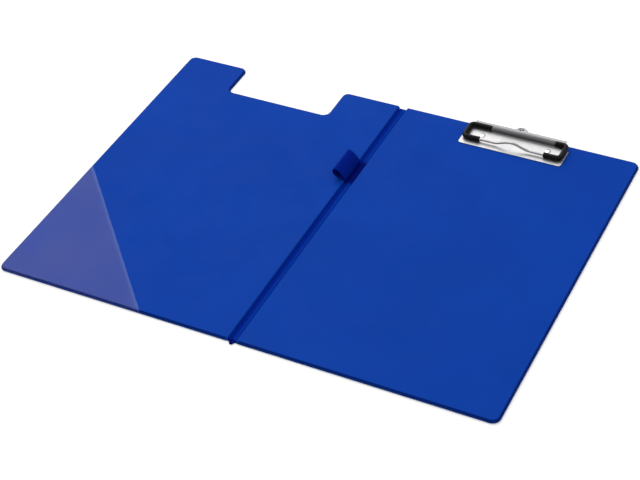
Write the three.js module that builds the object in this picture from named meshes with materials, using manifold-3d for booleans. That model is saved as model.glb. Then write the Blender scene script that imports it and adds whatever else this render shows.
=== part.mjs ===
// Foldover clipboard: two greyboard panels welded into PVC sheet, joined by a narrow folding spine,
// with a clear corner pocket, a pen loop and a sprung wire clip. Millimetres, +X across the open
// pair from the cover to the back board, +Y towards the clip, +Z up from the table.
import * as THREE from "three";
import { mergeVertices } from "three/addons/utils/BufferGeometryUtils.js";
import Module from "manifold-3d";

const wasm = await Module();
wasm.setup();

// Driving dimensions
const HALF_WIDTH = 233; // spine centre to a panel's outer edge
const HALF_HEIGHT = 170;
const SHEET = 0.5; // PVC sheet
const BOARD = 1.6; // greyboard core
const FOLD_X = 3.4; // spine centre to each fold line
const FOLD_GAP = 0.6; // from a fold line to the stiff sheet beside it
const RIM = 0.5; // welded rim round a board, trimmed close
const CORNER = 7; // outer corner radius
const SPINE_CORNER = 1.5; // corner radius beside the spine
const NOTCH = { left: -170, right: -62.6, floor: 130.5, corner: 6 };
const RIDGE = { inset: 1.4, rise: 0.45 }; // low ridge of the face sheet along the spine
const TAIL = { half: 2.2, reach: 2.6 }; // end of the spine weld that runs past the lower edge
const SPINE_TOP = 167.4; // upper end of the spine, a little short of the panels
const POCKET = { left: 153, foot: 145, rise: 0.3 }; // legs of the triangle, film thickness

const CLIP_X = 118.65;
const PLATE = { half: 49.8, front: 138, step: 160.5, back: 169.6, halfBack: 45.4, thick: 0.8 };
const LIP = { half: 44.5, front: 167.3, thick: 0.9, top: 6.8, lean: 1 }; // lean is Y per Z
const HUMP = { top: 8.7, half: 8, hole: [2.4, 0.9], holeZ: 7 }; // middle of the lip, hole radii
const AXIS = { y: 164.8, z: 6 }; // pivot of the wire bail
const TUBE = { outer: 2.3, bore: 1.4, left: -25.9, right: 35.2 };
const BAIL = { wire: 1.1, half: 46.7, front: 145.2, bend: 3.6, gap: 2, arch: 4.4, archHalf: 18 };
const SLEEVE = { outer: 2.4, bore: 1.4, end: 31.2, shaft: { left: 26.6, right: 35.9 } };
const RIVET = { dx: 32, y: 154.5, shank: 1.5, hole: 1.8, head: 2.8, rise: 0.8, tail: 2.5 };
const WASHER = { outer: 3.6, thick: 0.5, recess: 4 };

const LOOP = {
  y: [48.5, 79], // ends along the spine
  root: [-3.4, 3.4], // X and Z of the crease that it leans at
  lean: 134, // degrees from +X
  reach: 14.6,
  front: 2.3, // bulge of the ply that faces the back board
  back: 6.6, // bulge of the ply that faces the cover
  wall: 0.6,
  foot: 1.9, // from the crease down to the weld
};

// Levels above the table
const WELD = 2 * SHEET; // top of a welded rim and of the spine
const CORE_TOP = SHEET + BOARD;
const FACE = CORE_TOP + SHEET; // writing face
const PLATE_TOP = FACE + PLATE.thick;

// How far the face sheet's wall stands in from the rim's edge at each level, on the free edges and
// beside the spine, where the rim is only a weld line.
const WALL_OUT = [
  { z: SHEET, free: 0, spine: 0 },
  { z: WELD, free: 0, spine: 0 },
  { z: WELD, free: RIM, spine: 0.15 },
  { z: CORE_TOP, free: RIM + 0.35, spine: 0.35 },
  { z: FACE - 0.12, free: RIM + 0.55, spine: 0.5 },
  { z: FACE, free: RIM + 0.9, spine: 0.8 },
];
const WALL_IN = [
  { z: SHEET, free: RIM + 0.55, spine: 0.6 },
  { z: CORE_TOP - 0.3, free: RIM + 0.85, spine: 0.8 },
  { z: CORE_TOP, free: RIM + 1.15, spine: 1.1 },
];
const CORE_INSET = { free: RIM + 1.25, spine: 1.2 };

// Panels as counter-clockwise corners [x, y, radius]. The edge that leaves a corner marked "spine"
// is the one beside the fold.
const PANEL_EDGE = FOLD_X + FOLD_GAP;
const BACK_CORNERS = [
  { x: PANEL_EDGE, y: -HALF_HEIGHT, r: SPINE_CORNER },
  { x: HALF_WIDTH, y: -HALF_HEIGHT, r: CORNER },
  { x: HALF_WIDTH, y: HALF_HEIGHT, r: CORNER },
  { x: PANEL_EDGE, y: HALF_HEIGHT, r: SPINE_CORNER, spine: true },
];
const COVER_CORNERS = [
  { x: -HALF_WIDTH, y: -HALF_HEIGHT, r: CORNER },
  { x: -PANEL_EDGE, y: -HALF_HEIGHT, r: SPINE_CORNER, spine: true },
  { x: -PANEL_EDGE, y: HALF_HEIGHT, r: SPINE_CORNER },
  { x: NOTCH.right, y: HALF_HEIGHT, r: NOTCH.corner },
  { x: NOTCH.right, y: NOTCH.floor, r: NOTCH.corner },
  { x: NOTCH.left, y: NOTCH.floor, r: NOTCH.corner },
  { x: NOTCH.left, y: HALF_HEIGHT, r: NOTCH.corner },
  { x: -HALF_WIDTH, y: HALF_HEIGHT, r: CORNER },
];

const ARC_STEPS = 5;

// Outline of a panel with every edge moved in, corners kept as arcs of a fixed number of points.
function outline(corners, inset) {
  const points = [];
  corners.forEach((corner, i) => {
    const before = corners[(i + corners.length - 1) % corners.length];
    const after = corners[(i + 1) % corners.length];
    const into = new THREE.Vector2(corner.x - before.x, corner.y - before.y).normalize();
    const out = new THREE.Vector2(after.x - corner.x, after.y - corner.y).normalize();
    const insetInto = before.spine ? inset.spine : inset.free;
    const insetOut = corner.spine ? inset.spine : inset.free;
    const turn = Math.sign(into.cross(out));
    const move = Math.min(insetInto, insetOut);
    const radius = Math.max(corner.r - turn * move, 0.4);
    const at = new THREE.Vector2(corner.x, corner.y)
      .add(new THREE.Vector2(-into.y, into.x).multiplyScalar(insetInto))
      .add(new THREE.Vector2(-out.y, out.x).multiplyScalar(insetOut));
    const centre = at.clone().addScaledVector(into, -radius).addScaledVector(out, radius);
    for (let k = 0; k <= ARC_STEPS; k++) {
      const angle = (k / ARC_STEPS) * (Math.PI / 2);
      points.push(
        centre
          .clone()
          .addScaledVector(out, -radius * Math.cos(angle))
          .addScaledVector(into, radius * Math.sin(angle)),
      );
    }
  });
  return points;
}

// Closed surface through a stack of outlines with equal point counts, capped at both ends.
function loft(rings) {
  const count = rings[0].points.length;
  const positions = rings.flatMap((ring) => ring.points.flatMap((p) => [p.x, p.y, ring.z]));
  const index = [];
  for (let r = 0; r + 1 < rings.length; r++) {
    for (let k = 0; k < count; k++) {
      const a = r * count + k;
      const b = r * count + ((k + 1) % count);
      index.push(a, b, b + count, a, b + count, a + count);
    }
  }
  const last = (rings.length - 1) * count;
  for (const [i, j, k] of THREE.ShapeUtils.triangulateShape(rings[0].points, [])) {
    index.push(k, j, i);
  }
  for (const [i, j, k] of THREE.ShapeUtils.triangulateShape(rings.at(-1).points, [])) {
    index.push(last + i, last + j, last + k);
  }
  const geometry = new THREE.BufferGeometry();
  geometry.setAttribute("position", new THREE.Float32BufferAttribute(positions, 3));
  geometry.setIndex(index);
  return geometry;
}

// Booleans
function solid(geometry) {
  const bare = geometry.clone();
  bare.deleteAttribute("normal");
  bare.deleteAttribute("uv");
  const merged = mergeVertices(bare, 1e-4);
  return new wasm.Manifold(
    new wasm.Mesh({
      numProp: 3,
      vertProperties: new Float32Array(merged.attributes.position.array),
      triVerts: new Uint32Array(merged.index.array),
    }),
  );
}

function geometryOf(manifold) {
  const mesh = manifold.getMesh();
  const geometry = new THREE.BufferGeometry();
  geometry.setAttribute("position", new THREE.BufferAttribute(mesh.vertProperties, 3));
  geometry.setIndex(new THREE.BufferAttribute(mesh.triVerts, 1));
  return geometry;
}

function cut(geometry, ...tools) {
  return geometryOf(tools.reduce((left, tool) => left.subtract(solid(tool)), solid(geometry)));
}

function join(...geometries) {
  return geometryOf(geometries.map(solid).reduce((all, next) => all.add(next)));
}

// Primitives placed where they are used
function box(low, high) {
  const size = high.map((value, i) => value - low[i]);
  return new THREE.BoxGeometry(...size).translate(...low.map((value, i) => value + size[i] / 2));
}

function drill(x, y, radius, low, high) {
  return new THREE.CylinderGeometry(radius, radius, high - low, 24)
    .rotateX(Math.PI / 2)
    .translate(x, y, (low + high) / 2);
}

// A shape drawn in Y and Z, extruded along X.
function alongX(shape, x0, x1) {
  return new THREE.ExtrudeGeometry(shape, { depth: x1 - x0, bevelEnabled: false })
    .applyMatrix4(new THREE.Matrix4().set(0, 0, 1, x0, 1, 0, 0, 0, 0, 1, 0, 0, 0, 0, 0, 1));
}

// A shape drawn in X and Z, extruded along Y.
function alongY(shape, y0, y1) {
  return new THREE.ExtrudeGeometry(shape, { depth: y1 - y0, bevelEnabled: false, curveSegments: 8 })
    .rotateX(Math.PI / 2)
    .translate(0, y1, 0);
}

// A path that is sampled exactly at its own points.
class KnotPath extends THREE.Curve {
  constructor(points) {
    super();
    this.points = points;
  }
  getPoint(t) {
    const place = Math.min(t * (this.points.length - 1), this.points.length - 1 - 1e-9);
    const i = Math.floor(place);
    return this.points[i].clone().lerp(this.points[i + 1], place - i);
  }
  getPointAt(u) {
    return this.getPoint(u);
  }
  getTangentAt(u) {
    const i = Math.round(u * (this.points.length - 1));
    const before = this.points[Math.max(i - 1, 0)];
    const after = this.points[Math.min(i + 1, this.points.length - 1)];
    return after.clone().sub(before).normalize();
  }
}

function sweep(points, radius, sides) {
  const circle = new THREE.Shape();
  circle.absarc(0, 0, radius, 0, 2 * Math.PI, false);
  return new THREE.ExtrudeGeometry(circle, {
    steps: points.length - 1,
    curveSegments: sides / 4,
    extrudePath: new KnotPath(points),
    bevelEnabled: false,
  });
}

// The assembly
const group = new THREE.Group();

const FINISHES = {
  blue: { color: 0x1a43a8, roughness: 0.55, metalness: 0 },
  loopBlue: { color: 0x0c2a86, roughness: 0.5, metalness: 0 },
  greyboard: { color: 0x8d857a, roughness: 0.95, metalness: 0 },
  film: { color: 0x8c95c4, roughness: 0.2, metalness: 0, transparent: true, opacity: 0.5 },
  chrome: { color: 0xd8dadd, roughness: 0.12, metalness: 1 },
  black: { color: 0x161518, roughness: 0.45, metalness: 0 },
};

function add(name, geometry, finish) {
  const mesh = new THREE.Mesh(geometry, new THREE.MeshStandardMaterial(FINISHES[finish]));
  mesh.name = name;
  group.add(mesh);
  return mesh;
}

// Panels: a flat outer sheet, a greyboard core and a face sheet pressed down round the core.
function outerSheet(corners) {
  const edge = outline(corners, { free: 0, spine: 0 });
  return loft([
    { points: edge, z: 0 },
    { points: edge, z: SHEET },
  ]);
}

function core(corners) {
  const edge = outline(corners, CORE_INSET);
  return loft([
    { points: edge, z: SHEET },
    { points: edge, z: CORE_TOP },
  ]);
}

const ring = (corners, level, lift = 0) => ({
  points: outline(corners, level),
  z: level.z + lift,
});

function faceSheet(corners) {
  const inside = [...WALL_IN].reverse().map((level) => ring(corners, level));
  const outside = WALL_OUT.map((level) => ring(corners, level));
  return loft([...inside, ...outside]);
}

const rivetXs = { left: CLIP_X - RIVET.dx, right: CLIP_X + RIVET.dx };
const rivetHoles = (low, high) =>
  Object.values(rivetXs).map((x) => drill(x, RIVET.y, RIVET.hole, low, high));
const washerRecesses = Object.values(rivetXs).map((x) =>
  drill(x, RIVET.y, WASHER.recess, 0, SHEET + 2 * WASHER.thick),
);

add("outer_sheet_back", outerSheet(BACK_CORNERS), "blue");
add("back_board", cut(core(BACK_CORNERS), ...rivetHoles(0, FACE), ...washerRecesses), "greyboard");
add("face_sheet_back", cut(faceSheet(BACK_CORNERS), ...rivetHoles(0, PLATE_TOP)), "blue");
add("outer_sheet_cover", outerSheet(COVER_CORNERS), "blue");
add("cover_board", core(COVER_CORNERS), "greyboard");
add("face_sheet_cover", faceSheet(COVER_CORNERS), "blue");

// Spine: two welded strips between the fold lines, with the weld's tail past the lower edge. The
// face strip rises to a low ridge between its two creases.
function spineOutline(inset) {
  const half = FOLD_X - FOLD_GAP - inset;
  const end = HALF_HEIGHT - inset;
  const shape = new THREE.Shape();
  shape.moveTo(half, SPINE_TOP - inset);
  shape.lineTo(-half, SPINE_TOP - inset);
  shape.lineTo(-half, -end);
  shape.absellipse(0, -end, TAIL.half - inset, TAIL.reach, Math.PI, 2 * Math.PI, false);
  shape.lineTo(half, -end);
  return shape.getPoints(4);
}

const spineRing = (inset, z) => ({ points: spineOutline(inset), z });

add("outer_sheet_spine", loft([spineRing(0, 0), spineRing(0, SHEET)]), "blue");
add(
  "face_sheet_spine",
  loft([
    spineRing(0, SHEET),
    spineRing(0, WELD),
    spineRing(RIDGE.inset, WELD + RIDGE.rise),
  ]),
  "blue",
);

// Clear film over the cover's outer lower corner, welded on two sides and open on the slant.
function cornerPocket() {
  const levels = WALL_OUT.slice(2);
  const under = levels.map((level) => ring(COVER_CORNERS, level));
  const over = [...levels].reverse().map((level) => ring(COVER_CORNERS, level, POCKET.rise));
  const rim = { free: RIM / 2, spine: 0 };
  const rimPoints = outline(COVER_CORNERS, rim);
  const shell = loft([
    { points: outline(COVER_CORNERS, levels.at(-1)), z: FACE + POCKET.rise },
    ...over.slice(1),
    { points: rimPoints, z: WELD + POCKET.rise },
    { points: rimPoints, z: WELD },
    ...under,
  ].reverse());
  const corner = new THREE.Shape();
  corner.moveTo(-HALF_WIDTH, -HALF_HEIGHT);
  corner.lineTo(-HALF_WIDTH + POCKET.foot, -HALF_HEIGHT);
  corner.lineTo(-HALF_WIDTH, -HALF_HEIGHT + POCKET.left);
  const prism = new THREE.ExtrudeGeometry(corner, { depth: 2 * FACE, bevelEnabled: false });
  return geometryOf(solid(shell).intersect(solid(prism)));
}

add("corner_pocket", cornerPocket(), "film");

// Pen loop: one strip folded back on itself, welded at the cover's fold and leaning over the cover.
// Its section is drawn with the crease at the origin and its reach along +Z.
function loopSection(offset) {
  const neck = offset === 0 ? 0.5 : 0;
  const start = offset === 0 ? 0 : 1.5;
  const end = LOOP.reach - offset;
  const front = LOOP.front - offset;
  const back = LOOP.back - offset;
  const fold = -0.9;
  const shape = new THREE.Shape();
  shape.moveTo(neck, start);
  shape.bezierCurveTo(front * 1.15, start + 3.5, front * 1.15, end - 0.5, fold, end);
  shape.bezierCurveTo(-back - 0.2, end - 0.2, -back - 0.9, start + 5.5, -neck, start);
  return shape;
}

function penLoop() {
  const [rootX, rootZ] = LOOP.root;
  const [low, high] = LOOP.y;
  const lean = THREE.MathUtils.degToRad(LOOP.lean - 90);
  const loop = cut(alongY(loopSection(0), low, high), alongY(loopSection(LOOP.wall), low - 1, high + 1))
    .rotateY(-lean)
    .translate(rootX, 0, rootZ);
  const foot = box([rootX - 0.5, low, rootZ - LOOP.foot], [rootX + 0.5, high, rootZ + 0.6]);
  return join(loop, foot);
}

add("pen_loop", penLoop(), "loopBlue");

// Clip base: a plate with a back lip that leans away, and rises to a hump with the hang hole.
function clipBasePlate() {
  const r = 2.5;
  const { half, halfBack, front, step, back } = PLATE;
  const plan = new THREE.Shape();
  plan.moveTo(-half + r, front);
  plan.lineTo(half - r, front);
  plan.quadraticCurveTo(half, front, half, front + r);
  plan.lineTo(half, step);
  plan.lineTo(halfBack, step);
  plan.lineTo(halfBack, back);
  plan.lineTo(-halfBack, back);
  plan.lineTo(-halfBack, step);
  plan.lineTo(-half, step);
  plan.lineTo(-half, front + r);
  plan.quadraticCurveTo(-half, front, -half + r, front);
  const plate = new THREE.ExtrudeGeometry(plan, {
    depth: PLATE.thick,
    bevelEnabled: false,
    curveSegments: 5,
  }).translate(0, 0, FACE);

  const lip = new THREE.Shape();
  const { half: lipHalf, top } = LIP;
  const { half: humpHalf, top: hump } = HUMP;
  lip.moveTo(-lipHalf, FACE + 0.1);
  lip.lineTo(lipHalf, FACE + 0.1);
  lip.lineTo(lipHalf, top - 2);
  lip.quadraticCurveTo(lipHalf, top, lipHalf - 2, top);
  lip.lineTo(humpHalf, top);
  lip.bezierCurveTo(humpHalf / 2, top, humpHalf / 2, hump, 0, hump);
  lip.bezierCurveTo(-humpHalf / 2, hump, -humpHalf / 2, top, -humpHalf, top);
  lip.lineTo(-lipHalf + 2, top);
  lip.quadraticCurveTo(-lipHalf, top, -lipHalf, top - 2);
  const hole = new THREE.Path();
  hole.absellipse(0, HUMP.holeZ, ...HUMP.hole, 0, 2 * Math.PI, true);
  lip.holes.push(hole);
  const upright = alongY(lip, LIP.front, LIP.front + LIP.thick).applyMatrix4(
    new THREE.Matrix4().set(
      1, 0, 0, 0,
      0, 1, LIP.lean, -LIP.lean * PLATE_TOP,
      0, 0, 1, 0,
      0, 0, 0, 1,
    ),
  );
  const base = join(plate, upright).translate(CLIP_X, 0, 0);
  return cut(base, ...rivetHoles(0, FACE + 2 * PLATE.thick));
}

add("clip_base_plate", clipBasePlate(), "chrome");

// Hinge tube on a spot-welded foot, which holds the bail's two ends.
function hingeTube() {
  const barrel = new THREE.Shape();
  barrel.absarc(AXIS.y, AXIS.z, TUBE.outer, 0, 2 * Math.PI, false);
  const foot = box(
    [TUBE.left, AXIS.y - 2.6, PLATE_TOP],
    [TUBE.right, AXIS.y + 2.2, PLATE_TOP + 0.5],
  );
  const bore = new THREE.Shape();
  bore.absarc(AXIS.y, AXIS.z, TUBE.bore, 0, 2 * Math.PI, false);
  const whole = join(alongX(barrel, TUBE.left, TUBE.right), foot);
  return cut(whole, alongX(bore, TUBE.left - 1, TUBE.right + 1)).translate(CLIP_X, 0, 0);
}

add("clip_hinge_tube", hingeTube(), "chrome");

// The bail's right-hand route from x0 on the pivot axis, round both bends, to x1 on the front run.
function bailSide(x0, x1) {
  const { half, front, bend } = BAIL;
  const points = [new THREE.Vector3(x0, AXIS.y, AXIS.z)];
  const turn = (cx, cy, start) => {
    for (let k = 0; k <= ARC_STEPS; k++) {
      const angle = start - (k / ARC_STEPS) * (Math.PI / 2);
      points.push(
        new THREE.Vector3(cx + bend * Math.cos(angle), cy + bend * Math.sin(angle), AXIS.z),
      );
    }
  };
  turn(half - bend, AXIS.y - bend, Math.PI / 2);
  turn(half - bend, front + bend, 0);
  points.push(new THREE.Vector3(x1, front, AXIS.z));
  return points;
}

const mirrored = (points) => points.map((p) => new THREE.Vector3(-p.x, p.y, p.z));

function wireBail() {
  const right = bailSide(BAIL.gap, BAIL.archHalf);
  const arch = [];
  const archSteps = 12;
  for (let k = 1; k < archSteps; k++) {
    const x = BAIL.archHalf * (1 - (2 * k) / archSteps);
    const rise = (BAIL.arch / 2) * (1 + Math.cos((Math.PI * x) / BAIL.archHalf));
    arch.push(new THREE.Vector3(x, BAIL.front, AXIS.z + rise));
  }
  const route = [...right, ...arch, ...mirrored(right).reverse()];
  return sweep(route, BAIL.wire, 8).translate(CLIP_X, 0, 0);
}

function gripSleeve(side) {
  const shaft = side > 0 ? SLEEVE.shaft.right : SLEEVE.shaft.left;
  const place = (points) => (side > 0 ? points : mirrored(points).reverse());
  const outer = sweep(place(bailSide(shaft, SLEEVE.end)), SLEEVE.outer, 12);
  const bore = sweep(place(bailSide(shaft - 1, SLEEVE.end - 1)), SLEEVE.bore, 12);
  return cut(outer, bore).translate(CLIP_X, 0, 0);
}

add("wire_bail", wireBail(), "chrome");
add("grip_sleeve_left", gripSleeve(-1), "black");
add("grip_sleeve_right", gripSleeve(1), "black");

// Rivets: a low dome on the plate, clinched over a washer let into the core's underside.
function rivet() {
  const tailTop = SHEET + WASHER.thick;
  const { shank, head, rise, tail } = RIVET;
  const profile = [
    [0, SHEET],
    [tail, SHEET],
    [tail, tailTop],
    [shank, tailTop],
    [shank, PLATE_TOP],
    [head, PLATE_TOP],
    [head, PLATE_TOP + rise * 0.3],
    [head * 0.75, PLATE_TOP + rise * 0.8],
    [0, PLATE_TOP + rise],
  ];
  const points = profile.map(([r, z]) => new THREE.Vector2(r, z));
  return new THREE.LatheGeometry(points, 24).rotateX(Math.PI / 2);
}

function washer() {
  const low = SHEET + WASHER.thick;
  const disc = drill(0, 0, WASHER.outer, low, low + WASHER.thick);
  return cut(disc, drill(0, 0, RIVET.hole, 0, FACE));
}

for (const [side, x] of Object.entries(rivetXs)) {
  add(`rivet_${side}`, rivet(), "chrome").position.set(x, RIVET.y, 0);
  add(`rivet_washer_${side}`, washer(), "chrome").position.set(x, RIVET.y, 0);
}

export default group;
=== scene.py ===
import math

import bmesh
import bpy
from mathutils import Matrix, Vector
from mathutils.geometry import tessellate_polygon


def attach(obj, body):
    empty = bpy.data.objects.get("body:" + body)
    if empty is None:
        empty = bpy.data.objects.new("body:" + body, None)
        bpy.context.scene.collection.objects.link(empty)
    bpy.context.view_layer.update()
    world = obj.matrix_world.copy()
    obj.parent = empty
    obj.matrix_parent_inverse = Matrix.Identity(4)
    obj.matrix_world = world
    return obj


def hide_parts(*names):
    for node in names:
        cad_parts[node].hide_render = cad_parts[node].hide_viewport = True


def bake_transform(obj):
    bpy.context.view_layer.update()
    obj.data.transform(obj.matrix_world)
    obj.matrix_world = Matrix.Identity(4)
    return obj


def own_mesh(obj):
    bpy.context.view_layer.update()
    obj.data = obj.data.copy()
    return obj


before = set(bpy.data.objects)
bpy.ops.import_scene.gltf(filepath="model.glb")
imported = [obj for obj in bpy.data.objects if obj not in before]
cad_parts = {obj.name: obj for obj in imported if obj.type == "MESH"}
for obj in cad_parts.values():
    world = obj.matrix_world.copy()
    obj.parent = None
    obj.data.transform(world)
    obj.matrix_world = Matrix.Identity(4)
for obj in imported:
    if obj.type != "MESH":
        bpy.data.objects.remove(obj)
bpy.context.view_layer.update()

# Everything below is drawn in millimetres and scaled once, when a mesh is made.
MM = 0.001

HALF_WIDTH, HALF_HEIGHT = 233.0, 170.0
SHEET, BOARD = 0.5, 1.6
FOLD_X, FOLD_GAP = 3.4, 0.6
RIM = 0.5
CORNER, SPINE_CORNER = 7.0, 1.5
NOTCH_LEFT, NOTCH_RIGHT, NOTCH_FLOOR, NOTCH_CORNER = -170.0, -62.6, 130.5, 6.0
WELD, FACE = 2 * SHEET, 2 * SHEET + BOARD
RIDGE_INSET, RIDGE_RISE = 1.4, 0.45
TAIL_HALF, TAIL_REACH = 2.2, 2.6
SPINE_TOP = 167.4
POCKET_LEFT, POCKET_FOOT, POCKET_RISE = 153.0, 145.0, 0.3

LOOP_LOW, LOOP_HIGH = 48.5, 79.0
ROOT_X, ROOT_Z = -3.4, 3.4
LEAN = math.radians(134 - 90)
REACH, LOOP_FRONT, LOOP_BACK, LOOP_WALL = 14.6, 2.3, 6.6, 0.6

CLIP_X = 118.65
PLATE_HALF, PLATE_HALF_BACK = 49.8, 45.4
PLATE_FRONT, PLATE_STEP, PLATE_BACK = 138.0, 160.5, 169.6
PLATE_TOP = FACE + 0.8
LIP_HALF, LIP_FRONT, LIP_THICK, LIP_TOP, LIP_LEAN = 44.5, 167.3, 0.9, 6.8, 1.0
HUMP, HUMP_HALF, HOLE_WIDE, HOLE_HIGH, HOLE_Z = 8.7, 8.0, 2.4, 0.9, 7.0
AXIS_Y, AXIS_Z = 164.8, 6.0
TUBE_OUTER, TUBE_BORE, TUBE_LEFT, TUBE_RIGHT = 2.3, 1.4, -25.9, 35.2
WIRE = 1.1
BAIL_HALF, BAIL_FRONT, BAIL_BEND = 46.7, 145.2, 3.6
ARCH_RISE, ARCH_HALF = 4.4, 18.0
SLEEVE_OUTER, SLEEVE_BORE, SLEEVE_END = 2.4, 1.4, 31.2
SLEEVE_SHAFT = {"left": 26.6, "right": 35.9}
RIVET_DX, RIVET_Y, HEAD, HEAD_RISE, SHANK = 32.0, 154.5, 2.8, 0.8, 1.5


# ---------------------------------------------------------------- meshes


def mesh_object(name, points, faces, material, sharp=38):
    """A mesh from millimetre points, faces turned outwards, smooth but for edges over `sharp` degrees."""
    mesh = bpy.data.meshes.new(name)
    mesh.from_pydata([Vector(p) * MM for p in points], [], faces)
    built = bmesh.new()
    built.from_mesh(mesh)
    bmesh.ops.recalc_face_normals(built, faces=built.faces)
    built.to_mesh(mesh)
    built.free()
    mesh.shade_smooth()
    mesh.set_sharp_from_angle(angle=math.radians(sharp))
    mesh.materials.append(material)
    obj = bpy.data.objects.new(name, mesh)
    bpy.context.scene.collection.objects.link(obj)
    return obj


def loft(rings, capped=True):
    """Points and faces of a skin through rings, capped at its two ends or closed on itself.

    A ring is a list of closed loops of 3-D points.
    """
    points, faces, starts = [], [], []
    for ring in rings:
        starts.append([])
        for loop in ring:
            starts[-1].append(len(points))
            points += [Vector(p) for p in loop]
    for r in range(len(rings) - 1):
        for loop, a, b in zip(rings[r], starts[r], starts[r + 1]):
            n = len(loop)
            faces += [(a + k, a + (k + 1) % n, b + (k + 1) % n, b + k) for k in range(n)]
    if capped:
        for r in (0, len(rings) - 1):
            for tri in tessellate_polygon([[Vector(p) for p in loop] for loop in rings[r]]):
                faces.append(tuple(starts[r][0] + i for i in tri))
    else:
        last, first = starts[-1], starts[0]
        for loop, a, b in zip(rings[0], last, first):
            n = len(loop)
            faces += [(a + k, a + (k + 1) % n, b + (k + 1) % n, b + k) for k in range(n)]
    return points, faces


def offset(loop, distance):
    """A closed 2-D loop with every point moved to its left."""
    moved = []
    for i, p in enumerate(loop):
        p = Vector(p)
        a = (p - Vector(loop[i - 1])).normalized()
        b = (Vector(loop[(i + 1) % len(loop)]) - p).normalized()
        na, nb = Vector((-a.y, a.x)), Vector((-b.y, b.x))
        moved.append(p + (na + nb) * (distance / max(0.3, 1 + na.dot(nb))))
    return moved


def slab(name, loops, levels, place, material):
    """A flat plate: 2-D loops (outer counter-clockwise, holes clockwise), moved in by each level's inset."""
    rings = [[[place(p.x, p.y, level) for p in offset(loop, inset)] for loop in loops] for inset, level in levels]
    return mesh_object(name, *loft(rings), material)


def soft_levels(low, high, bevel, margin):
    """Insets and levels of a plate whose edges are rounded by `bevel`."""
    turn = [math.pi / 2 * k / 4 for k in range(5)]
    lower = [(bevel * (1 - math.sin(t)), low + bevel * (1 - math.cos(t))) for t in turn]
    upper = [(inset, high - (level - low)) for inset, level in reversed(lower)]
    return [(bevel + margin, low)] + lower + upper + [(bevel + margin, high)]


def arc(cx, cy, r, start, end, steps):
    angles = [math.radians(start + (end - start) * k / steps) for k in range(steps + 1)]
    return [Vector((cx + r * math.cos(a), cy + r * math.sin(a))) for a in angles]


def full_turn(sides):
    return [2 * math.pi * k / sides for k in range(sides)]


def bezier(p0, p1, p2, p3, steps):
    out = []
    for k in range(steps):
        t = k / steps
        s = 1 - t
        out.append(Vector(p0) * s**3 + Vector(p1) * 3 * s * s * t + Vector(p2) * 3 * s * t * t + Vector(p3) * t**3)
    return out


def swept(name, path, profile, material, sides, closed=False):
    """A round section carried along a path of dense 3-D points. profile holds (length along it, radius)."""
    lengths = [0.0]
    for a, b in zip(path, path[1:]):
        lengths.append(lengths[-1] + (b - a).length)
    total = lengths[-1]

    def frame_at(s):
        s = min(max(s, 0.0), total)
        i = next((k for k in range(len(path) - 1) if lengths[k + 1] >= s), len(path) - 2)
        share = (s - lengths[i]) / max(1e-9, lengths[i + 1] - lengths[i])
        here = path[i].lerp(path[i + 1], share)
        before, after = path[max(i - 1, 0)], path[min(i + 2, len(path) - 1)]
        along = (path[i + 1] - path[i]).normalized() * 0.5 + (after - before).normalized() * 0.5
        along.normalize()
        side = along.cross(Vector((0, 0, 1))).normalized()
        return here, side, side.cross(along).normalized()

    rings = []
    for s, radius in profile:
        here, side, up = frame_at(s)
        rings.append([[here + (side * math.cos(a) + up * math.sin(a)) * radius for a in full_turn(sides)]])
    return mesh_object(name, *loft(rings, capped=not closed), material)


def panel_outline(corners, free, spine, steps=14):
    """Outline of a panel with its free edges and its edge beside the spine moved in.

    A corner is (x, y, radius, is the next edge at the spine).
    """
    points = []
    for i, (x, y, r, at_spine) in enumerate(corners):
        before, after = corners[i - 1], corners[(i + 1) % len(corners)]
        into = Vector((x - before[0], y - before[1])).normalized()
        out = Vector((after[0] - x, after[1] - y)).normalized()
        inset_into, inset_out = (spine if before[3] else free), (spine if at_spine else free)
        turn = 1 if into.x * out.y - into.y * out.x > 0 else -1
        radius = max(r - turn * min(inset_into, inset_out), 0.35)
        at = Vector((x, y)) + Vector((-into.y, into.x)) * inset_into + Vector((-out.y, out.x)) * inset_out
        centre = at - into * radius + out * radius
        for k in range(steps + 1):
            angle = k / steps * math.pi / 2
            points.append(centre - out * radius * math.cos(angle) + into * radius * math.sin(angle))
    return points


# ---------------------------------------------------------------- materials


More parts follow.
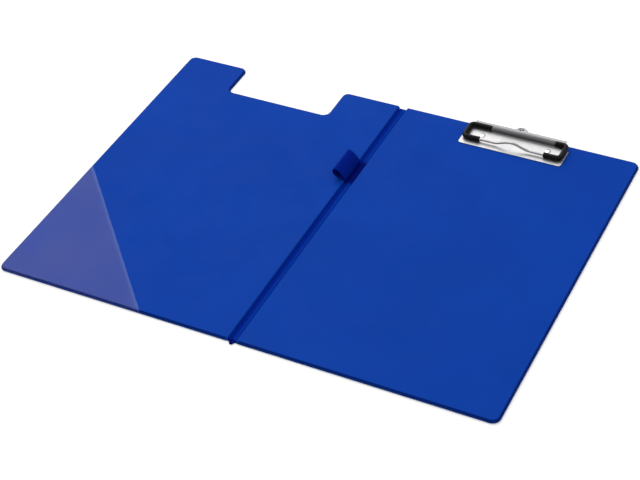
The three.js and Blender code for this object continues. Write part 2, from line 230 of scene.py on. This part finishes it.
class Shader:
    """A Principled material whose textures are laid out in millimetres on the piece itself."""

    def __init__(self, name):
        self.material = bpy.data.materials.new(name)
        self.material.use_nodes = True
        self.tree = self.material.node_tree
        self.tree.nodes.clear()
        self.bsdf = self.tree.nodes.new("ShaderNodeBsdfPrincipled")
        output = self.tree.nodes.new("ShaderNodeOutputMaterial")
        self.tree.links.new(self.bsdf.outputs[0], output.inputs["Surface"])
        self.mm = self.scaled((1, 1, 1))

    def put(self, socket, value):
        if isinstance(value, bpy.types.NodeSocket):
            self.tree.links.new(value, socket)
        else:
            socket.default_value = value

    def node(self, kind, **values):
        made = self.tree.nodes.new(kind)
        for key, value in values.items():
            setattr(made, key, value)
        return made

    def scaled(self, stretch):
        coordinates = self.node("ShaderNodeTexCoord")
        mapping = self.node("ShaderNodeMapping")
        mapping.inputs["Scale"].default_value = [1000 * s for s in stretch]
        self.tree.links.new(coordinates.outputs["Object"], mapping.inputs["Vector"])
        return mapping.outputs[0]

    def noise(self, scale, detail=3.0, rough=0.5, vector=None, distortion=0.0):
        made = self.node("ShaderNodeTexNoise")
        self.put(made.inputs["Vector"], vector or self.mm)
        for key, value in (("Scale", scale), ("Detail", detail), ("Roughness", rough), ("Distortion", distortion)):
            made.inputs[key].default_value = value
        return made.outputs[0]

    def cells(self, scale, feature="F1"):
        made = self.node("ShaderNodeTexVoronoi", feature=feature)
        self.put(made.inputs["Vector"], self.mm)
        made.inputs["Scale"].default_value = scale
        return made.outputs["Distance"]

    def span(self, value, low, high, to_low=0.0, to_high=1.0):
        """The value carried smoothly from low..high to to_low..to_high."""
        made = self.node("ShaderNodeMapRange", interpolation_type="SMOOTHSTEP")
        self.put(made.inputs["Value"], value)
        for key, v in (("From Min", low), ("From Max", high), ("To Min", to_low), ("To Max", to_high)):
            self.put(made.inputs[key], v)
        return made.outputs[0]

    def math(self, operation, a, b=0.0):
        made = self.node("ShaderNodeMath", operation=operation)
        self.put(made.inputs[0], a)
        self.put(made.inputs[1], b)
        return made.outputs[0]

    def mix(self, share, a, b):
        made = self.node("ShaderNodeMix", data_type="RGBA")
        self.put(made.inputs[0], share)
        for socket, value in ((made.inputs[6], a), (made.inputs[7], b)):
            self.put(socket, value if isinstance(value, bpy.types.NodeSocket) else (*value, 1.0))
        return made.outputs[2]

    def along(self, direction):
        """Distance in millimetres along a direction."""
        made = self.node("ShaderNodeVectorMath", operation="DOT_PRODUCT")
        self.put(made.inputs[0], self.mm)
        made.inputs[1].default_value = direction
        return made.outputs["Value"]

    def bump(self, height, depth, under=None, strength=1.0):
        """Relief of `depth` millimetres."""
        made = self.node("ShaderNodeBump")
        made.inputs["Strength"].default_value = strength
        made.inputs["Distance"].default_value = depth * MM
        self.put(made.inputs["Height"], height)
        if under is not None:
            self.put(made.inputs["Normal"], under)
        return made.outputs[0]

    def set(self, **values):
        for key, value in values.items():
            self.put(self.bsdf.inputs[key.replace("_", " ")], value)
        return self.material


def pvc(name, base, wall_shade_colour=None, gutter_shade_colour=None, gloss=0.5, specular=0.014):
    """Calendered PVC sheet: a fine leather emboss, slow shifts of tone and gloss, and faint rubs.

    A panel gets painted shade on its walls; the spine instead gets painted shade on its side towards the cover, under
    the pen loop's root and at its lower end.
    """
    s = Shader(name)
    tone = s.span(s.noise(0.011, 3, 0.55), 0.32, 0.68)
    colour = s.mix(tone, base, tuple(c * 0.93 for c in base))
    mottle = s.span(s.noise(0.35, 4, 0.6), 0.35, 0.7)
    colour = s.mix(s.math("MULTIPLY", mottle, 0.1), colour, tuple(c * 1.25 for c in base))
    rub = s.span(s.noise(0.09, 6, 0.7, s.scaled((1.0, 0.12, 1.0)), 0.6), 0.66, 0.74)
    colour = s.mix(s.math("MULTIPLY", rub, 0.06), colour, (0.05, 0.12, 0.42))
    if wall_shade_colour:
        # painted shade: the walls all round, but for those beside the spine, are painted darker, less so towards the
        # bottom
        outer = s.span(s.math("ABSOLUTE", s.along((1, 0, 0))), 5.2, 6.5)
        up = s.along((0, 0, 1))
        wall_shade = s.math("MULTIPLY", s.span(up, FACE - 0.003, FACE - 0.1), s.span(up, 2.3, 1.5, 0.9, 0.55))
        colour = s.mix(s.math("MULTIPLY", wall_shade, outer), colour, wall_shade_colour)
    else:
        # painted shade: the spine's side towards the cover, the pen loop's root and the spine's lower end are painted
        # darker
        shaded = s.span(s.along((1, 0, 0)), 1.5, -0.2)
        y = s.along((0, 1, 0))
        past_low, short_of_high = s.span(y, LOOP_LOW - 4, LOOP_LOW + 2.5), s.span(y, LOOP_HIGH + 5, LOOP_HIGH - 2)
        loop_root_shade = s.math("MULTIPLY", past_low, short_of_high)
        tail = s.span(y, -HALF_HEIGHT + 3.5, -HALF_HEIGHT + 1)
        colour = s.mix(shaded, colour, gutter_shade_colour)
        colour = s.mix(s.math("MULTIPLY", s.math("MAXIMUM", loop_root_shade, tail), 0.9), colour, (0.0006, 0.002, 0.09))
    emboss = s.math("ADD", s.cells(2.1, "SMOOTH_F1"), s.math("MULTIPLY", s.noise(4.5, 3, 0.6), 0.6))
    normal = s.bump(s.noise(0.014, 2, 0.4), 0.5)
    normal = s.bump(emboss, 0.018, normal, 0.8)
    normal = s.bump(s.noise(26, 2, 0.5), 0.003, normal, 0.6)
    patches = s.span(s.noise(0.03, 4, 0.6), 0.3, 0.7, gloss - 0.05, gloss + 0.06)
    rough = s.math("ADD", patches, s.math("MULTIPLY", rub, -0.08))
    return s.set(Base_Color=colour, Roughness=rough, Specular_IOR_Level=specular, Normal=normal)


def clear_film(name):
    """Clear PVC film: a lavender haze, partly its own haze and partly a painted reflection of its sheen, faint flow
    streaks and a painted highlight along the slant.
    """
    s = Shader(name)
    length = math.hypot(POCKET_LEFT, POCKET_FOOT)
    across = s.along((POCKET_LEFT / length, POCKET_FOOT / length, 0))
    edge_at = (-HALF_WIDTH * POCKET_LEFT + (POCKET_LEFT - HALF_HEIGHT) * POCKET_FOOT) / length
    slant_highlight = s.span(across, edge_at - 4.0, edge_at - 1.0)
    streak = s.span(s.noise(0.05, 4, 0.6, s.scaled((1.0, 0.25, 1.0)), 0.5), 0.3, 0.72)
    cloud = s.span(s.noise(0.013, 2, 0.5), 0.3, 0.7)
    haze = s.math("ADD", s.math("MULTIPLY", streak, 0.012), s.math("MULTIPLY", cloud, 0.02))
    alpha = s.math("ADD", s.math("ADD", haze, 0.072), s.math("MULTIPLY", slant_highlight, 0.008))
    alpha = s.math("MULTIPLY", alpha, s.span(s.along((0, 0, 1)), 2.35, 2.6, 0.3, 1.0))
    normal = s.bump(s.noise(0.03, 2, 0.45), 0.35)
    normal = s.bump(s.noise(1.6, 3, 0.55), 0.004, normal)
    # the lavender tint is partly a painted reflection of the film's sheen; the bluer band along the slant is a
    # painted highlight
    colour = s.mix(slant_highlight, (0.275, 0.262, 0.415), (0.33, 0.42, 0.72))
    s.material.surface_render_method = "BLENDED"
    rough = s.span(streak, 0, 1, 0.16, 0.24)
    return s.set(Base_Color=colour, Alpha=alpha, Roughness=rough, Specular_IOR_Level=0.06, Normal=normal)


def metal(name, colour, worn, rough, brushed=(1.0, 0.02, 1.0), metallic=1.0):
    """Plated steel: fine directional polish, hairline scratches, faint pitting and slow unevenness."""
    s = Shader(name)
    lines = s.noise(3.2, 4, 0.65, s.scaled(brushed))
    hair = s.span(s.noise(1.1, 7, 0.75, s.scaled((0.06, 1.4, 1.0)), 1.2), 0.66, 0.7)
    marks = s.math("MAXIMUM", hair, s.span(s.cells(0.9), 0.05, 0.0))
    smear = s.span(s.noise(0.06, 4, 0.6), 0.35, 0.7)
    tone = s.mix(smear, colour, tuple(c * 0.94 for c in colour))
    tone = s.mix(s.math("MULTIPLY", marks, 0.5), tone, worn)
    roughness = s.math("ADD", s.span(lines, 0.3, 0.7, rough - 0.03, rough + 0.05), s.math("MULTIPLY", smear, 0.05))
    normal = s.bump(s.noise(0.09, 2, 0.4), 0.05)
    normal = s.bump(lines, 0.0015, normal)
    normal = s.bump(s.math("SUBTRACT", 1.0, marks), 0.004, normal)
    return s.set(Base_Color=tone, Metallic=metallic, Roughness=roughness, Normal=normal)


def black_vinyl(name):
    """Dip-moulded black vinyl tube: satin, with a faint uneven surface, dust and rubbed lighter spots."""
    s = Shader(name)
    dust = s.span(s.noise(1.8, 5, 0.7), 0.58, 0.75)
    rub = s.span(s.noise(0.16, 4, 0.6), 0.5, 0.72)
    colour = s.mix(s.math("MULTIPLY", dust, 0.25), (0.003, 0.0026, 0.0034), (0.02, 0.02, 0.023))
    colour = s.mix(s.math("MULTIPLY", rub, 0.3), colour, (0.012, 0.012, 0.015))
    normal = s.bump(s.noise(1.4, 3, 0.5), 0.02)
    normal = s.bump(s.noise(9, 3, 0.6), 0.005, normal)
    return s.set(Base_Color=colour, Roughness=s.span(rub, 0, 1, 0.40, 0.32), Specular_IOR_Level=0.1, Normal=normal)


def greyboard(name):
    """Pressed grey paperboard: matted fibres and darker flecks."""
    s = Shader(name)
    fibres = s.noise(1.1, 6, 0.7, s.scaled((1.0, 0.25, 2.0)), 0.8)
    flecks = s.span(s.cells(0.7), 0.12, 0.04)
    colour = s.mix(s.span(fibres, 0.3, 0.7), (0.23, 0.21, 0.18), (0.34, 0.31, 0.27))
    colour = s.mix(s.math("MULTIPLY", flecks, 0.5), colour, (0.09, 0.08, 0.07))
    return s.set(Base_Color=colour, Roughness=0.93, Specular_IOR_Level=0.2, Normal=s.bump(fibres, 0.05))


def paper_floor(name):
    """A sheet of white background paper."""
    s = Shader(name)
    tone = s.span(s.noise(0.004, 3, 0.5), 0.3, 0.7)
    tooth = s.noise(2.2, 4, 0.65)
    colour = s.mix(tone, (0.93, 0.93, 0.93), (0.95, 0.95, 0.95))
    return s.set(Base_Color=colour, Roughness=0.95, Specular_IOR_Level=0.1, Normal=s.bump(tooth, 0.02))


BLUE = pvc("blue_pvc", (0.0022, 0.041, 0.310), wall_shade_colour=(0.0008, 0.008, 0.09))
# painted shade: the spine and fold strips get a darker copy of the panels' blue PVC
BLUE_SPINE_SHADED = pvc("blue_pvc_spine_shaded", (0.0015, 0.030, 0.27), gutter_shade_colour=(0.0004, 0.0115, 0.195), gloss=0.6, specular=0.004)
# painted shade: the pen loop and its root get a darker copy of the blue PVC
BLUE_LOOP_SHADED = pvc("blue_pvc_loop_shaded", (0.0003, 0.0110, 0.19), wall_shade_colour=(0.0003, 0.0095, 0.165), specular=0.007)
FILM = clear_film("clear_film")
PLATED = metal("plated_steel", (0.47, 0.465, 0.47), (0.34, 0.34, 0.36), 0.48)
# painted light: a lighter, glossier copy of the plating, used for the lip bent up from the plate and for the rivets
BRIGHT_LIT = metal("bright_steel_lit", (0.68, 0.68, 0.69), (0.48, 0.48, 0.5), 0.2)
# painted shade: a darker, duller copy of the plating for the hinge tube and the hang hole's edge
SATIN_SHADED = metal("satin_steel_shaded", (0.13, 0.13, 0.135), (0.07, 0.07, 0.075), 0.45, (0.02, 1.0, 1.0), metallic=0.6)
WIRE_STEEL = metal("wire_steel", (0.36, 0.34, 0.335), (0.2, 0.2, 0.2), 0.2, (0.05, 1.0, 1.0))
BLACK = black_vinyl("black_vinyl")
CORE = greyboard("greyboard")


# ---------------------------------------------------------------- panels

PANEL_EDGE = FOLD_X + FOLD_GAP
BACK = [
    (PANEL_EDGE, -HALF_HEIGHT, SPINE_CORNER, False),
    (HALF_WIDTH, -HALF_HEIGHT, CORNER, False),
    (HALF_WIDTH, HALF_HEIGHT, CORNER, False),
    (PANEL_EDGE, HALF_HEIGHT, SPINE_CORNER, True),
]
COVER = [
    (-HALF_WIDTH, -HALF_HEIGHT, CORNER, False),
    (-PANEL_EDGE, -HALF_HEIGHT, SPINE_CORNER, True),
    (-PANEL_EDGE, HALF_HEIGHT, SPINE_CORNER, False),
    (NOTCH_RIGHT, HALF_HEIGHT, NOTCH_CORNER, False),
    (NOTCH_RIGHT, NOTCH_FLOOR, NOTCH_CORNER, False),
    (NOTCH_LEFT, NOTCH_FLOOR, NOTCH_CORNER, False),
    (NOTCH_LEFT, HALF_HEIGHT, NOTCH_CORNER, False),
    (-HALF_WIDTH, HALF_HEIGHT, CORNER, False),
]

# (inset on free edges, inset beside the spine, level)
SHEET_EDGE = [
    (0.6, 0.6, 0.0),
    (0.14, 0.14, 0.0),
    (0.04, 0.04, 0.04),
    (0.0, 0.0, 0.13),
    (0.0, 0.0, 0.38),
    (0.03, 0.03, 0.46),
    (0.11, 0.11, 0.5),
    (0.6, 0.6, 0.5),
]
FACE_WALL = [
    (RIM + 1.15, 1.1, 2.1),
    (RIM + 0.85, 0.8, 1.8),
    (RIM + 0.55, 0.6, 0.5),
    (0.11, 0.11, 0.5),
    (0.03, 0.03, 0.55),
    (0.0, 0.0, 0.63),
    (0.0, 0.0, 0.86),
    (0.04, 0.03, 0.95),
    (0.13, 0.06, 1.0),
    (RIM - 0.1, 0.1, 1.0),
    (RIM + 0.04, 0.16, 1.05),
    (RIM + 0.12, 0.2, 1.16),
    (RIM + 0.24, 0.27, 1.6),
    (RIM + 0.34, 0.34, 2.02),
    (RIM + 0.44, 0.42, 2.26),
    (RIM + 0.6, 0.54, 2.43),
    (RIM + 0.82, 0.72, 2.52),
    (RIM + 1.15, 1.0, 2.575),
    (RIM + 1.6, 1.3, 2.595),
    (RIM + 2.1, 1.7, 2.6),
    (RIM + 3.0, 2.6, 2.6),
]


def panel_skin(name, corners, wall, material):
    rings = [[[(p.x, p.y, z) for p in panel_outline(corners, free, spine)]] for free, spine, z in wall]
    return mesh_object(name, *loft(rings), material)


for side, corners, body in (("back", BACK, "back"), ("cover", COVER, "cover")):
    for kind, wall in (("outer_sheet", SHEET_EDGE), ("face_sheet", FACE_WALL)):
        skin = panel_skin(f"{kind}_{side}_skin", corners, wall, BLUE)
        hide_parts(f"{kind}_{side}")
        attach(skin, body)


# ---------------------------------------------------------------- spine and folds


def spine_outline(inset, z):
    half, end = FOLD_X - FOLD_GAP - inset, HALF_HEIGHT - inset
    tail = [
        (-(TAIL_HALF - inset * 0.9) * math.cos(t), -end - TAIL_REACH * math.sin(t))
        for t in (math.pi * k / 14 for k in range(15))
    ]
    right = [(half, -end + (SPINE_TOP - inset + end) * k / 24) for k in range(25)]
    left = [(-x, y) for x, y in reversed(right)]
    return [[(x, y, z) for x, y in tail + right + left]]


def ridge_level(inset):
    return WELD + RIDGE_RISE * (0.5 - 0.5 * math.cos(math.pi * min(1.0, inset / RIDGE_INSET)))


# (inset, level): the outer sheet with its rounded edges, the face sheet over it, then the ridge
spine_levels = [(1.6, 0.0), (0.15, 0.0), (0.03, 0.05), (0.0, 0.14), (0.0, 0.36), (0.09, 0.47)]
spine_levels += [(0.09, 0.53), (0.0, 0.62), (0.0, 0.9), (0.04, 0.97)]
spine_levels += [(inset, ridge_level(inset)) for inset in (1.9 * (k / 9) for k in range(1, 10))]
spine_rings = [spine_outline(inset, z) for inset, z in spine_levels]
spine_strip = mesh_object("spine_strip", *loft(spine_rings), BLUE_SPINE_SHADED)
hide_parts("outer_sheet_spine", "face_sheet_spine")
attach(spine_strip, "spine")


def fold_skin(name, sign):
    """The creased strip of sheet between the spine and a panel, its long edges tucked into both."""
    stations = [2.5 + 1.8 * k / 18 for k in range(19)]

    def dip(x, depth):
        return depth * math.exp(-(((x - FOLD_X) / 0.3) ** 2))

    def tuck(x):
        return 0.14 * max(0.0, abs(x - FOLD_X) - 0.6) / 0.3

    top = [(x, WELD - 0.06 - dip(x, 0.2) - tuck(x)) for x in stations]
    low = [(x, 0.05 + dip(x, 0.12) + tuck(x)) for x in reversed(stations)]
    rings = []
    for k in range(49):
        y = -HALF_HEIGHT + 0.4 + (SPINE_TOP + HALF_HEIGHT - 0.5) * k / 48
        rings.append([[(sign * x, y, z) for x, z in top + low]])
    return mesh_object(name, *loft(rings), BLUE_SPINE_SHADED)


for name, sign, panel in (("fold_strip_back", 1, "back"), ("fold_strip_cover", -1, "cover")):
    strip = fold_skin(name, sign)
    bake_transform(strip)


# ---------------------------------------------------------------- corner pocket


def pocket_rings(levels, lift):
    """Each level's outline round the pocket's corner, ended where it meets the slanted edge."""
    rings = []
    for free, z in levels:
        low_x, low_y = -HALF_WIDTH + free, -HALF_HEIGHT + free
        slope = POCKET_LEFT / POCKET_FOOT
        left_y = -HALF_HEIGHT + POCKET_LEFT - free * slope
        foot_x = -HALF_WIDTH + POCKET_FOOT - free / slope
        r = CORNER - free
        bend = arc(low_x + r, low_y + r, r, 180, 270, 14)
        left = [(low_x, left_y + (low_y + r - left_y) * k / 12) for k in range(12)]
        foot = [(low_x + r + (foot_x - low_x - r) * k / 12, low_y) for k in range(1, 13)]
        rings.append([(x, y, z + lift) for x, y in left + [tuple(p) for p in bend] + foot])
    return rings


def corner_pocket():
    levels = [(RIM * 0.45, WELD)] + [(i, z) for i, _, z in FACE_WALL[9:]]
    under, over = pocket_rings(levels, 0.02), pocket_rings(levels, POCKET_RISE)
    points, faces = [], []
    count = len(under[0])
    starts = {}
    for layer, rings in (("under", under), ("over", over)):
        starts[layer] = []
        for ring in rings:
            starts[layer].append(len(points))
            points += ring
        for a, b in zip(starts[layer], starts[layer][1:]):
            faces += [(a + k, a + k + 1, b + k + 1, b + k) for k in range(count - 1)]
        last = starts[layer][-1]
        faces.append(tuple(last + k for k in range(count)))
    a, b = starts["under"][0], starts["over"][0]
    faces += [(a + k, a + k + 1, b + k + 1, b + k) for k in range(count - 1)]
    for (a, a2), (b, b2) in zip(zip(starts["under"], starts["under"][1:]), zip(starts["over"], starts["over"][1:])):
        for k in (0, count - 1):
            faces.append((a + k, a2 + k, b2 + k, b + k))
    a, b = starts["under"][-1], starts["over"][-1]
    faces.append((a, a + count - 1, b + count - 1, b))
    return mesh_object("corner_pocket_film", points, faces, FILM)


pocket = corner_pocket()
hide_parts("corner_pocket")
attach(pocket, "cover")


# ---------------------------------------------------------------- pen loop

def loop_section(inset):
    neck, start = (0.5, 0.0) if inset == 0 else (0.02, 1.5)
    end, front, back = REACH - inset, LOOP_FRONT - inset, LOOP_BACK - inset
    fold = (-0.9, end)
    out = bezier((neck, start), (front * 1.15, start + 3.5), (front * 1.15, end - 0.5), fold, 26)
    return out + bezier(fold, (-back - 0.2, end - 0.2), (-back - 0.9, start + 5.5), (-neck, start), 26)


def lean_over(u, w, y):
    return (ROOT_X + u * math.cos(LEAN) - w * math.sin(LEAN), y, ROOT_Z + u * math.sin(LEAN) + w * math.cos(LEAN))


loop_levels = [(0.14, LOOP_LOW), (0.04, LOOP_LOW + 0.05), (0.0, LOOP_LOW + 0.16)]
loop_levels += [(0.0, LOOP_LOW + (LOOP_HIGH - LOOP_LOW) * k / 16) for k in range(1, 16)]
loop_levels += [(0.0, LOOP_HIGH - 0.16), (0.04, LOOP_HIGH - 0.05), (0.14, LOOP_HIGH)]
pen_loop = slab("pen_loop_strip", [loop_section(0), loop_section(LOOP_WALL)[::-1]], loop_levels, lean_over, BLUE_LOOP_SHADED)
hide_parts("pen_loop")
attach(pen_loop, "loop")
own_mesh(pen_loop)

# the two plies welded together, from the fold line up past the crease
root_stations = [(LOOP_LOW + 0.02, 0.12), (LOOP_LOW + 0.15, 0)]
root_stations += [(LOOP_LOW + 1.5 + 2.5 * k, 0) for k in range(12)]
root_stations += [(LOOP_HIGH - 0.15, 0), (LOOP_HIGH - 0.02, 0.12)]
root_rings = []
for y, shrink in root_stations:
    wide, heights = 0.48 - shrink, [1.2 + 2.7 * k / 10 for k in range(11)]
    root_rings.append([[(ROOT_X + wide, y, z) for z in heights] + [(ROOT_X - wide, y, z) for z in reversed(heights)]])
loop_root = mesh_object("pen_loop_root", *loft(root_rings), BLUE_LOOP_SHADED)
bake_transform(loop_root)


# ---------------------------------------------------------------- clip base


def flat_at(x, y, z):
    return (x + CLIP_X, y, z)


def along_clip(y, z, x):
    return (x + CLIP_X, y, z)


# (x, y, radius, start angle, end angle, steps) of each corner, round from the front left one
plan = []
for corner in (
    (-PLATE_HALF + 2.5, PLATE_FRONT + 2.5, 2.5, 180, 270, 8),
    (PLATE_HALF - 2.5, PLATE_FRONT + 2.5, 2.5, 270, 360, 8),
    (PLATE_HALF - 0.5, PLATE_STEP - 0.5, 0.5, 0, 90, 3),
    (PLATE_HALF_BACK + 0.4, PLATE_STEP + 0.4, 0.4, 270, 180, 3),
    (PLATE_HALF_BACK - 0.4, PLATE_BACK - 0.4, 0.4, 0, 90, 3),
    (-PLATE_HALF_BACK + 0.4, PLATE_BACK - 0.4, 0.4, 90, 180, 3),
    (-PLATE_HALF_BACK - 0.4, PLATE_STEP + 0.4, 0.4, 0, -90, 3),
    (-PLATE_HALF + 0.5, PLATE_STEP - 0.5, 0.5, 90, 180, 3),
):
    plan += arc(*corner)
plate = slab("clip_plate", [plan], soft_levels(FACE, PLATE_TOP, 0.22, 0.9), flat_at, PLATED)
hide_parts("clip_base_plate")
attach(plate, "back")


def leaning_at(x, z, y):
    return (x + CLIP_X, y + LIP_LEAN * (z - PLATE_TOP), z)


LIP_CORNER = 1.4
lip = [Vector((-LIP_HALF, FACE + 0.1)), Vector((LIP_HALF, FACE + 0.1))]
lip += arc(LIP_HALF - LIP_CORNER, LIP_TOP - LIP_CORNER, LIP_CORNER, 0, 90, 8)
lip += bezier((HUMP_HALF, LIP_TOP), (HUMP_HALF / 2, LIP_TOP), (HUMP_HALF / 2, HUMP), (0, HUMP), 14)
lip += bezier((0, HUMP), (-HUMP_HALF / 2, HUMP), (-HUMP_HALF / 2, LIP_TOP), (-HUMP_HALF, LIP_TOP), 14)
lip += arc(-LIP_HALF + LIP_CORNER, LIP_TOP - LIP_CORNER, LIP_CORNER, 90, 180, 8)


def hole_loop(wide, high, way):
    return [Vector((wide * p.x, HOLE_Z + high * p.y)) for p in arc(0, 0, 1, 0, 360 * way, 32)[:-1]]


hang_hole = hole_loop(HOLE_WIDE, HOLE_HIGH, -1)
lip_levels = soft_levels(LIP_FRONT, LIP_FRONT + LIP_THICK, 0.18, 0.1)
# painted light: the lip is drawn in the lighter copy of the plate's steel
upright = slab("clip_lip", [lip, hang_hole], lip_levels, leaning_at, BRIGHT_LIT)
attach(upright, "back")

# the rolled edge inside the hang hole, drawn in the darker steel as painted shade so the hole reads dark
rolled_loops = [hole_loop(HOLE_WIDE + 0.05, HOLE_HIGH + 0.05, 1), hole_loop(HOLE_WIDE / 2, HOLE_HIGH / 3, -1)]
rolled_levels = soft_levels(LIP_FRONT + 0.15, LIP_FRONT + LIP_THICK - 0.05, 0.1, 0.05)
rolled = slab("clip_hang_hole_edge", rolled_loops, rolled_levels, leaning_at, SATIN_SHADED)
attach(rolled, "back")

# the rounded inside of the fold between the plate and the lip
root = [Vector((LIP_FRONT - 0.1, 3.2)), Vector((LIP_FRONT + 0.65, 3.9))]
root += arc(LIP_FRONT - 0.42, 4.36, 1.0, -45, -90, 8)
root += [Vector((LIP_FRONT - 0.5, 3.2))]
bend_levels = soft_levels(-LIP_HALF + 0.1, LIP_HALF - 0.1, 0.05, 0.02)
bend = slab("clip_lip_bend", [root[::-1]], bend_levels, along_clip, PLATED)
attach(bend, "back")


# ---------------------------------------------------------------- hinge tube

# rolled from a strip, so a shallow seam runs along it
SEAM_RADIUS = TUBE_OUTER - 0.25
barrel = arc(AXIS_Y, AXIS_Z, TUBE_OUTER, -55, 291, 44) + arc(AXIS_Y, AXIS_Z, SEAM_RADIUS, -60, -64, 1)
bore = arc(AXIS_Y, AXIS_Z, TUBE_BORE, 0, -360, 32)[:-1]
# painted shade: the tube is drawn in the darker copy of the plating
tube = slab("hinge_tube", [barrel, bore], soft_levels(TUBE_LEFT, TUBE_RIGHT, 0.15, 0.1), along_clip, SATIN_SHADED)
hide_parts("clip_hinge_tube")
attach(tube, "back")
FOOT_CORNER, FOOT_FRONT, FOOT_BACK = 0.8, AXIS_Y - 1.8, AXIS_Y + 1.4
foot = arc(TUBE_LEFT + FOOT_CORNER, FOOT_FRONT, FOOT_CORNER, 180, 270, 4)
foot += arc(TUBE_RIGHT - FOOT_CORNER, FOOT_FRONT, FOOT_CORNER, 270, 360, 4)
foot += arc(TUBE_RIGHT - FOOT_CORNER, FOOT_BACK, FOOT_CORNER, 0, 90, 4)
foot += arc(TUBE_LEFT + FOOT_CORNER, FOOT_BACK, FOOT_CORNER, 90, 180, 4)
foot_levels = soft_levels(PLATE_TOP - 0.02, PLATE_TOP + 0.5, 0.14, 0.4)
tube_foot = slab("hinge_tube_foot", [foot], foot_levels, flat_at, PLATED)
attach(tube_foot, "back")


# ---------------------------------------------------------------- bail and sleeves


def bail_side(x0, x1):
    """Right half of the bail's path: from x0 on the axis round both bends to x1 on the front run."""
    turn_x = BAIL_HALF - BAIL_BEND
    points = [Vector((x0 + (turn_x - x0) * k / 8, AXIS_Y, AXIS_Z)) for k in range(8)]
    for cy, begin in ((AXIS_Y - BAIL_BEND, 90), (BAIL_FRONT + BAIL_BEND, 0)):
        points += [Vector((p.x, p.y, AXIS_Z)) for p in arc(turn_x, cy, BAIL_BEND, begin, begin - 90, 24)]
    points += [Vector((turn_x - (turn_x - x1) * k / 8, BAIL_FRONT, AXIS_Z)) for k in range(1, 9)]
    return points


def on_clip(points, side=1):
    return [Vector((CLIP_X + side * p.x, p.y, p.z)) for p in points]


def spaced(path, step, margin=0.0):
    total = sum((b - a).length for a, b in zip(path, path[1:]))
    count = max(2, int((total - 2 * margin) / step))
    return [margin + (total - 2 * margin) * k / count for k in range(count + 1)], total


half_wire = bail_side(2.0, ARCH_HALF)
arch = []
for k in range(1, 60):
    x = ARCH_HALF * (1 - 2 * k / 60)
    arch.append(Vector((x, BAIL_FRONT, AXIS_Z + ARCH_RISE / 2 * (1 + math.cos(math.pi * x / ARCH_HALF)))))
wire_path = on_clip(half_wire + arch + [Vector((-p.x, p.y, p.z)) for p in reversed(half_wire)])
stations, total = spaced(wire_path, 0.7, 0.2)
wire_profile = [(0.0, 0.8), (0.06, 1.0)] + [(s, WIRE) for s in stations] + [(total - 0.06, 1.0), (total, 0.8)]
bail = swept("bail_wire", wire_path, wire_profile, WIRE_STEEL, sides=20)
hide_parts("wire_bail")
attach(bail, "bail")

for side, label in ((-1, "left"), (1, "right")):
    path = on_clip(bail_side(SLEEVE_SHAFT[label], SLEEVE_END), side)
    stations, total = spaced(path, 0.7, 0.5)
    rounded = [(0.0, 2.02), (0.05, 2.2), (0.2, 2.34), (0.4, SLEEVE_OUTER)]
    profile = rounded + [(s, SLEEVE_OUTER) for s in stations] + [(total - s, r) for s, r in reversed(rounded)]
    profile += [(total, SLEEVE_BORE + 0.1), (total - 0.1, SLEEVE_BORE)]
    profile += [(s, SLEEVE_BORE) for s in reversed(stations)] + [(0.1, SLEEVE_BORE), (0.0, SLEEVE_BORE + 0.1)]
    sleeve = swept(f"grip_sleeve_{label}_tube", path, profile, BLACK, sides=28, closed=True)
    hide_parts(f"grip_sleeve_{label}")
    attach(sleeve, "bail")


# ---------------------------------------------------------------- rivets

def lathe(name, x, y, profile, material):
    rings = [[[(x + r * math.cos(a), y + r * math.sin(a), z) for a in full_turn(48)]] for r, z in profile]
    return mesh_object(name, *loft(rings), material, 50)


dome = [(HEAD - 0.05, 0.0), (HEAD, 0.08), (HEAD, 0.16), (HEAD - 0.07, 0.25)]
for k in range(1, 12):
    rise = math.pi / 2 * k / 12
    dome.append(((HEAD - 0.1) * math.cos(rise), 0.26 + (HEAD_RISE - 0.26) * math.sin(rise)))
dome = [(SHANK, -1.6), (SHANK, 0.0)] + dome + [(0.12, HEAD_RISE)]
for side, label in ((-1, "left"), (1, "right")):
    profile = [(r, PLATE_TOP + z) for r, z in dome]
    head = lathe(f"rivet_{label}_head", CLIP_X + side * RIVET_DX, RIVET_Y, profile, BRIGHT_LIT)
    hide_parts(f"rivet_{label}")
    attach(head, "back")


# ---------------------------------------------------------------- inner pieces kept from the model

for name, material in (
    ("back_board", CORE),
    ("cover_board", CORE),
    ("rivet_washer_left", BRIGHT_LIT),
    ("rivet_washer_right", BRIGHT_LIT),
):
    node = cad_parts[name]
    node.data.materials.clear()
    node.data.materials.append(material)


# ---------------------------------------------------------------- floor, light and camera

floor_points = [(-4000, -4000, -0.2), (4000, -4000, -0.2), (4000, 4000, -0.2), (-4000, 4000, -0.2)]
floor = mesh_object("floor", floor_points, [(0, 1, 2, 3)], paper_floor("floor_paper"))

scene = bpy.context.scene
scene.view_settings.view_transform = "Standard"
world = bpy.data.worlds.new("soft_room")
world.use_nodes = True
world.node_tree.nodes["Background"].inputs["Color"].default_value = (1, 1, 1, 1)
world.node_tree.nodes["Background"].inputs["Strength"].default_value = 0.8
scene.world = world


key_data = bpy.data.lights.new("key", "AREA")
key_data.shape = "DISK"
key_data.size = 3.0
key_data.energy = 77
key = bpy.data.objects.new("key", key_data)
key.location = (-1.6, 1.7, 2.4)
key.rotation_euler = (-key.location).to_track_quat("-Z", "Y").to_euler()
scene.collection.objects.link(key)

camera_data = bpy.data.cameras.new("camera")
camera_data.sensor_width = 36
camera_data.lens = 92.2
camera = bpy.data.objects.new("camera", camera_data)
azimuth, elevation, roll = math.radians(30.16), math.radians(41.22), math.radians(-5.31)
turn = Matrix.Rotation(azimuth, 4, "Z") @ Matrix.Rotation(math.pi / 2 - elevation, 4, "X")
turn = turn @ Matrix.Rotation(roll, 4, "Z")
camera.matrix_world = Matrix.Translation((0.5493, -0.9569, 0.9395)) @ turn
scene.collection.objects.link(camera)
scene.camera = camera
